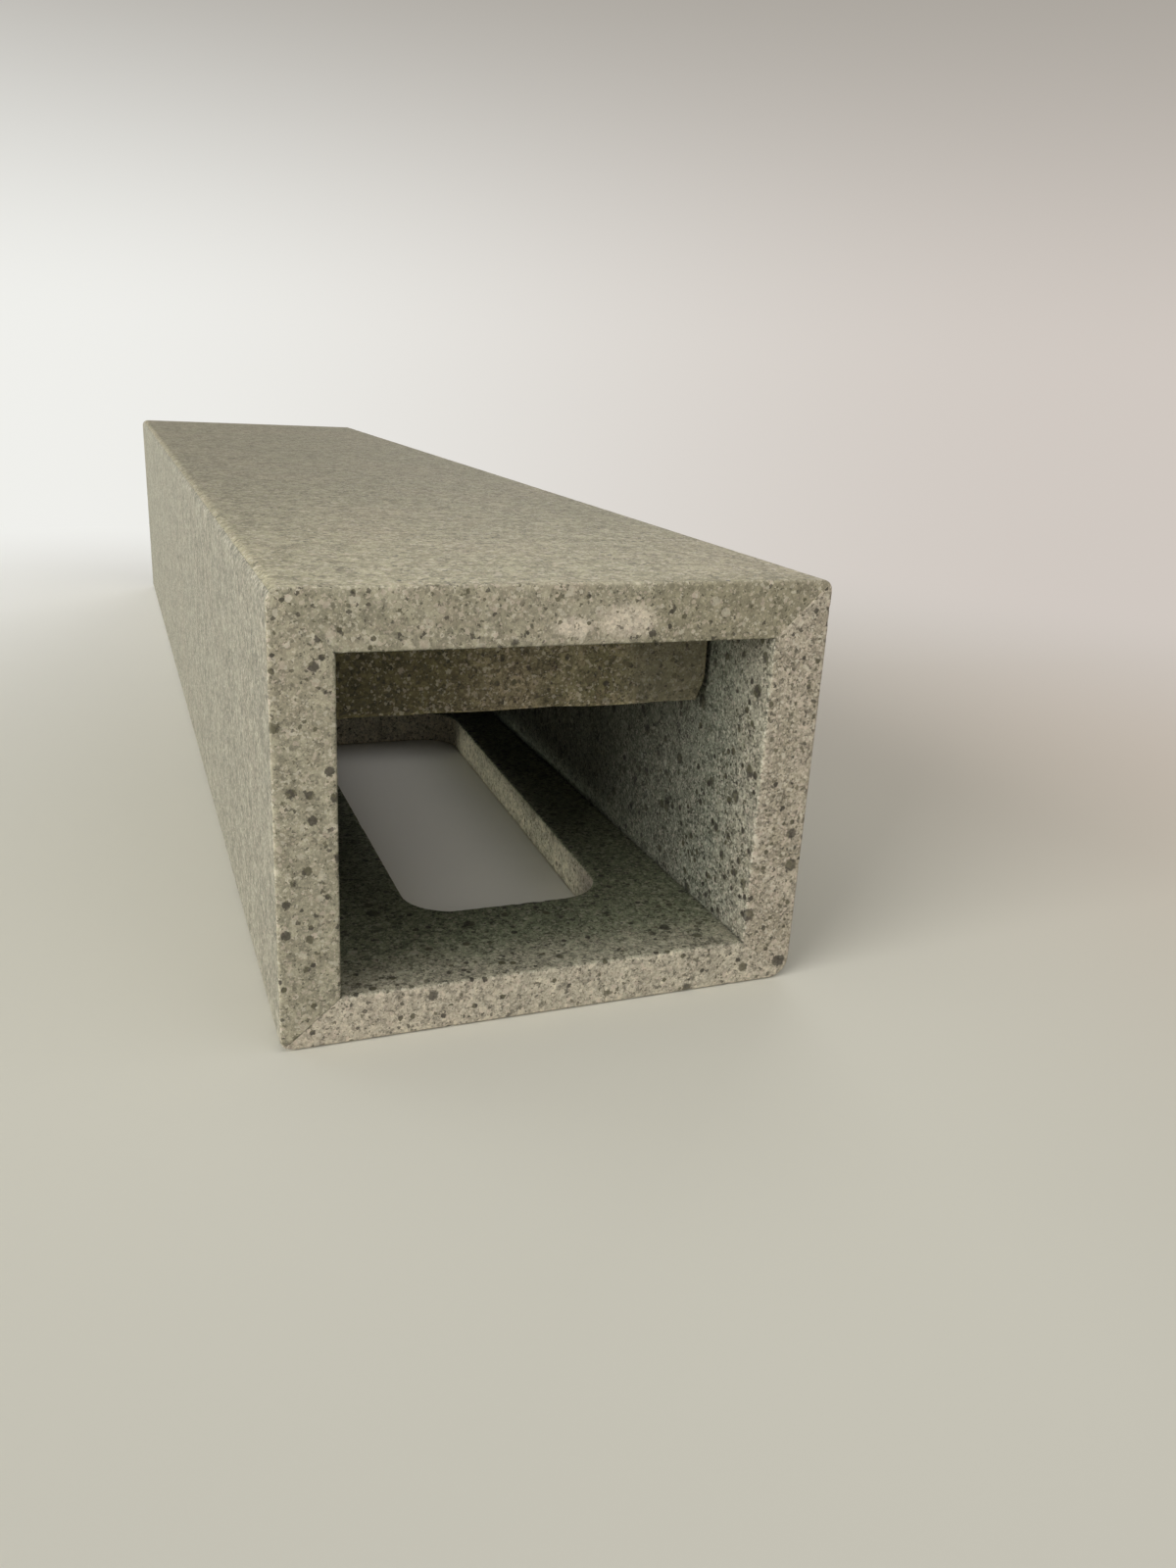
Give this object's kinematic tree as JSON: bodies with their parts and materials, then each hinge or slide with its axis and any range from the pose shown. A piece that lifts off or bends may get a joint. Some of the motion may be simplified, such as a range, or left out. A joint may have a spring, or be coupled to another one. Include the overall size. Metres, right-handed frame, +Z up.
{
  "type": "hollow stone profile",
  "caption": "Long rectangular tube of thin mitred stone plates, open at both ends, with a rounded opening in the underside and a bonded strip inside above it.",
  "frame": {"origin": "middle of the underside, halfway along the length", "axes": "+X across to the right plate, +Y along the length away from the end with the bottom opening, +Z up"},
  "size_m": [0.1, 0.45, 0.08],
  "materials": {
    "plate_stone": "honed, green-grey with dark and pale grains",
    "strip_stone": "sawn, brown-grey with pale and pink grains"
  },
  "bodies": {
    "root": {"top_plate": "plate_stone", "bottom_plate": "plate_stone", "left_plate": "plate_stone", "right_plate": "plate_stone", "inner_strip": "strip_stone"}
  },
  "joints": []
}
